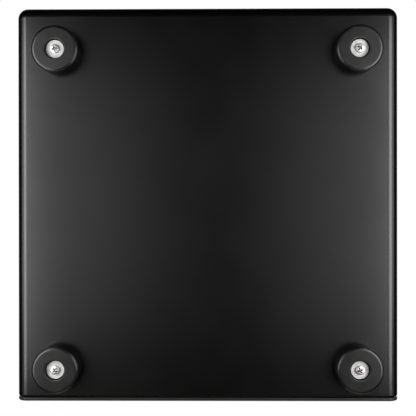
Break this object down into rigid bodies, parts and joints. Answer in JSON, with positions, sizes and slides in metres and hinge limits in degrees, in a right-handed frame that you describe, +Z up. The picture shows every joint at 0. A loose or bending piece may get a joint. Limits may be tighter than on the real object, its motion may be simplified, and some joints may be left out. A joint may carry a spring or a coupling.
{
  "type": "counting scale",
  "caption": "Bench counting scale: low black case on screwed rubber feet, sloping keypad and display console, and a loose stainless pan over a load cell.",
  "frame": {"origin": "on the bench, under the centre of the case's footprint", "axes": "+Z up, -Y towards the operator (the keypad side), +X to the operator's right"},
  "size_m": [0.315, 0.325, 0.1002],
  "materials": {
    "case_plastic": "satin, fine spark texture",
    "fascia_plastic": "satin, fine spark texture",
    "seal_rubber": "matte",
    "foot_rubber": "matte",
    "buffer_rubber": "matte",
    "zinc": "bright zinc plate",
    "plated_sheet": "zinc-plated sheet",
    "bolt_steel": "plated steel",
    "cell_aluminium": "machined",
    "cast_aluminium": "as cast",
    "pan_steel": "brushed stainless",
    "bezel_plastic": "satin",
    "function_keys": "satin",
    "digit_keys": "satin",
    "mat_silicone": "matte",
    "circuit_board": "solder mask",
    "component_plastic": "moulded",
    "lens_acrylic": "smoked, polished",
    "lcd_glass": "reflective display",
    "vial_plastic": "polished",
    "vial_glass": "clear",
    "battery_plastic": "moulded",
    "transformer_core": "varnished",
    "rear_panel": "powder coat",
    "inlet_plastic": "moulded",
    "pin_brass": "nickel plate",
    "rocker_plastic": "polished",
    "serial_shell": "tin plate"
  },
  "bodies": {
    "root": {"base_shell": "case_plastic", "battery": "battery_plastic", "battery_strap": "plated_sheet", "board_components": "component_plastic", "board_screws": "zinc", "bracket_screws": "zinc", "case_screws": "zinc", "cell_base_bolts": "bolt_steel", "cell_base_spacer": "cell_aluminium", "cell_bracket": "plated_sheet", "display_board": "circuit_board", "display_lens": "lens_acrylic", "foot_screws": "zinc", "foot_washers": "zinc", "front_fascia": "fascia_plastic", "housing_seal": "seal_rubber", "inlet_pins": "pin_brass", "jack_nuts": "zinc", "key_board": "circuit_board", "key_mat": "mat_silicone", "keypad_bezel": "bezel_plastic", "lcd_modules": "lcd_glass", "level_lens": "vial_glass", "level_vial": "vial_plastic", "load_cell": "cell_aluminium", "main_board": "circuit_board", "mains_inlet": "inlet_plastic", "overload_stops": "bolt_steel", "rear_panel": "rear_panel", "rubber_feet": "foot_rubber", "serial_port": "serial_shell", "switch_body": "inlet_plastic", "top_cover": "case_plastic", "transformer": "transformer_core"},
    "platform": {"cell_head_spacer": "cell_aluminium", "cell_head_bolts": "bolt_steel", "spider": "cast_aluminium", "pan_buffers": "buffer_rubber"},
    "pan": {"weighing_pan": "pan_steel"},
    "rocker": {"rocker": "rocker_plastic"},
    "key_0": {"key_0": "digit_keys"},
    "key_1": {"key_1": "digit_keys"},
    "key_2": {"key_2": "digit_keys"},
    "key_3": {"key_3": "digit_keys"},
    "key_4": {"key_4": "digit_keys"},
    "key_5": {"key_5": "digit_keys"},
    "key_6": {"key_6": "digit_keys"},
    "key_7": {"key_7": "digit_keys"},
    "key_8": {"key_8": "digit_keys"},
    "key_9": {"key_9": "digit_keys"},
    "key_add": {"key_add": "function_keys"},
    "key_clear": {"key_clear": "digit_keys"},
    "key_point": {"key_point": "digit_keys"},
    "key_power": {"key_power": "function_keys"},
    "key_sample": {"key_sample": "function_keys"},
    "key_tare": {"key_tare": "function_keys"},
    "key_unit_weight": {"key_unit_weight": "function_keys"},
    "key_zero_set": {"key_zero_set": "function_keys"}
  },
  "joints": [
    {"name": "platform_deflection", "type": "slide", "parent": "root", "child": "platform", "axis": [0, 0, 1], "range_m": [-0.0006, 0], "stiffness_N_per_m": 250000, "springref_m": 0.0002, "deforming": ["load_cell"]},
    {"name": "pan_lift", "type": "slide", "parent": "platform", "child": "pan", "axis": [0, 0, 1], "range_m": [0, 0.06]},
    {"name": "power_rocker", "type": "hinge", "parent": "root", "child": "rocker", "pos_m": [-0.004, 0.1547, 0.06101], "axis": [0, 0, -1], "range_deg": [0, 20]},
    {"name": "key_0_press", "type": "slide", "parent": "root", "child": "key_0", "axis": [0, -0.3746, 0.9272], "range_m": [-0.0012, 0], "stiffness_N_per_m": 800, "springref_m": 0.0006},
    {"name": "key_1_press", "type": "slide", "parent": "root", "child": "key_1", "axis": [0, -0.3746, 0.9272], "range_m": [-0.0012, 0], "stiffness_N_per_m": 800, "springref_m": 0.0006},
    {"name": "key_2_press", "type": "slide", "parent": "root", "child": "key_2", "axis": [0, -0.3746, 0.9272], "range_m": [-0.0012, 0], "stiffness_N_per_m": 800, "springref_m": 0.0006},
    {"name": "key_3_press", "type": "slide", "parent": "root", "child": "key_3", "axis": [0, -0.3746, 0.9272], "range_m": [-0.0012, 0], "stiffness_N_per_m": 800, "springref_m": 0.0006},
    {"name": "key_4_press", "type": "slide", "parent": "root", "child": "key_4", "axis": [0, -0.3746, 0.9272], "range_m": [-0.0012, 0], "stiffness_N_per_m": 800, "springref_m": 0.0006},
    {"name": "key_5_press", "type": "slide", "parent": "root", "child": "key_5", "axis": [0, -0.3746, 0.9272], "range_m": [-0.0012, 0], "stiffness_N_per_m": 800, "springref_m": 0.0006},
    {"name": "key_6_press", "type": "slide", "parent": "root", "child": "key_6", "axis": [0, -0.3746, 0.9272], "range_m": [-0.0012, 0], "stiffness_N_per_m": 800, "springref_m": 0.0006},
    {"name": "key_7_press", "type": "slide", "parent": "root", "child": "key_7", "axis": [0, -0.3746, 0.9272], "range_m": [-0.0012, 0], "stiffness_N_per_m": 800, "springref_m": 0.0006},
    {"name": "key_8_press", "type": "slide", "parent": "root", "child": "key_8", "axis": [0, -0.3746, 0.9272], "range_m": [-0.0012, 0], "stiffness_N_per_m": 800, "springref_m": 0.0006},
    {"name": "key_9_press", "type": "slide", "parent": "root", "child": "key_9", "axis": [0, -0.3746, 0.9272], "range_m": [-0.0012, 0], "stiffness_N_per_m": 800, "springref_m": 0.0006},
    {"name": "key_add_press", "type": "slide", "parent": "root", "child": "key_add", "axis": [0, -0.3746, 0.9272], "range_m": [-0.0012, 0], "stiffness_N_per_m": 800, "springref_m": 0.0006},
    {"name": "key_clear_press", "type": "slide", "parent": "root", "child": "key_clear", "axis": [0, -0.3746, 0.9272], "range_m": [-0.0012, 0], "stiffness_N_per_m": 800, "springref_m": 0.0006},
    {"name": "key_point_press", "type": "slide", "parent": "root", "child": "key_point", "axis": [0, -0.3746, 0.9272], "range_m": [-0.0012, 0], "stiffness_N_per_m": 800, "springref_m": 0.0006},
    {"name": "key_power_press", "type": "slide", "parent": "root", "child": "key_power", "axis": [0, -0.3746, 0.9272], "range_m": [-0.0012, 0], "stiffness_N_per_m": 800, "springref_m": 0.0006},
    {"name": "key_sample_press", "type": "slide", "parent": "root", "child": "key_sample", "axis": [0, -0.3746, 0.9272], "range_m": [-0.0012, 0], "stiffness_N_per_m": 800, "springref_m": 0.0006},
    {"name": "key_tare_press", "type": "slide", "parent": "root", "child": "key_tare", "axis": [0, -0.3746, 0.9272], "range_m": [-0.0012, 0], "stiffness_N_per_m": 800, "springref_m": 0.0006},
    {"name": "key_unit_weight_press", "type": "slide", "parent": "root", "child": "key_unit_weight", "axis": [0, -0.3746, 0.9272], "range_m": [-0.0012, 0], "stiffness_N_per_m": 800, "springref_m": 0.0006},
    {"name": "key_zero_set_press", "type": "slide", "parent": "root", "child": "key_zero_set", "axis": [0, -0.3746, 0.9272], "range_m": [-0.0012, 0], "stiffness_N_per_m": 800, "springref_m": 0.0006}
  ]
}
